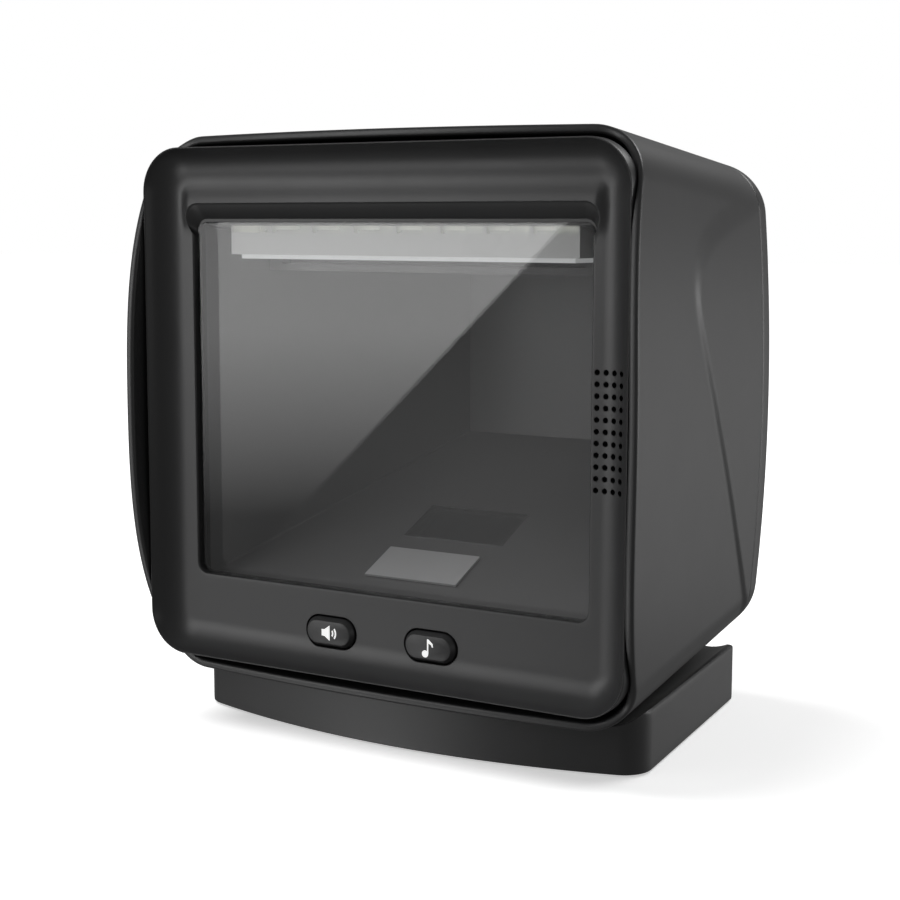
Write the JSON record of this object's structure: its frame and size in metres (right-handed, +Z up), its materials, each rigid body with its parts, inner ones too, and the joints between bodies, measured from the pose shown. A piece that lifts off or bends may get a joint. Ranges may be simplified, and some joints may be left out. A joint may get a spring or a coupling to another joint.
{
  "type": "presentation barcode scanner",
  "caption": "Countertop presentation barcode scanner for a self-checkout lane: boxy tilting head with a large framed scan window, speaker grille and two push buttons, on a low weighted base.",
  "frame": {"origin": "bottom centre of the bounding box, on the plane that the rubber feet stand on", "axes": "+Z up, -Y towards the customer through the scan window, +X towards the speaker holes"},
  "size_m": [0.1564, 0.117, 0.1649],
  "materials": {
    "shell_plastic": "fine spark-textured moulded plastic, satin black",
    "button_plastic": "satin moulded plastic",
    "icon_white": "second-shot white plastic",
    "rubber": "matte rubber",
    "window_glass": "clear hardened window",
    "dark_glass": "smoked clear plastic",
    "circuit_board": "solder mask",
    "black_plastic": "moulded plastic",
    "label_plate": "satin printed film, blank",
    "diffuser": "frosted translucent plastic",
    "white_plastic": "glossy white reflector",
    "led": "clear lens over phosphor",
    "lens": "coated lens in a black barrel",
    "steel": "zinc plated",
    "flex_cable": "polyimide film",
    "lead_red": "insulated wire",
    "washer_plastic": "self-lubricating plastic"
  },
  "bodies": {
    "base": {"base_shell": "shell_plastic", "base_plate": "black_plastic", "ballast_plate": "steel", "rubber_feet": "rubber", "base_screws": "steel", "neck_post": "black_plastic", "neck_screws": "steel", "tilt_pin": "steel", "friction_washers": "washer_plastic", "pin_clips": "steel"},
    "head": {"front_bezel": "shell_plastic", "window_seal": "rubber", "scan_window": "window_glass", "main_housing": "shell_plastic", "rear_cover": "shell_plastic", "button_membrane": "rubber", "button_board": "circuit_board", "button_switches": "black_plastic", "optical_chamber": "black_plastic", "label_plate": "label_plate", "engine_window": "dark_glass", "light_diffuser": "diffuser", "light_reflector": "white_plastic", "light_board": "circuit_board", "light_leds": "led", "light_bar_cover": "black_plastic", "engine_bracket": "steel", "scan_engine": "black_plastic", "engine_lens": "lens", "engine_board": "circuit_board", "main_board": "circuit_board", "main_board_chips": "black_plastic", "data_port": "black_plastic", "speaker_frame": "black_plastic", "speaker_cone": "black_plastic", "speaker_magnet": "steel", "speaker_mesh": "black_plastic", "speaker_lead": "lead_red", "engine_flex": "flex_cable", "button_flex": "flex_cable", "light_flex": "flex_cable", "tilt_bracket": "steel", "tilt_screws": "steel", "chamber_screws": "steel", "cover_screws": "steel", "board_screws": "steel"},
    "volume_button": {"volume_button": "button_plastic", "volume_icon": "icon_white"},
    "tone_button": {"tone_button": "button_plastic", "tone_icon": "icon_white"}
  },
  "joints": [
    {"name": "head_tilt", "type": "hinge", "parent": "base", "child": "head", "pos_m": [0, -0.01, 0.031], "axis": [-1, 0, 0], "range_deg": [-1.5, 5]},
    {"name": "volume_press", "type": "slide", "parent": "head", "child": "volume_button", "axis": [0, 1, 0], "range_m": [0, 0.001], "stiffness_N_per_m": 1200, "springref_m": -0.0005},
    {"name": "tone_press", "type": "slide", "parent": "head", "child": "tone_button", "axis": [0, 1, 0], "range_m": [0, 0.001], "stiffness_N_per_m": 1200, "springref_m": -0.0005}
  ]
}
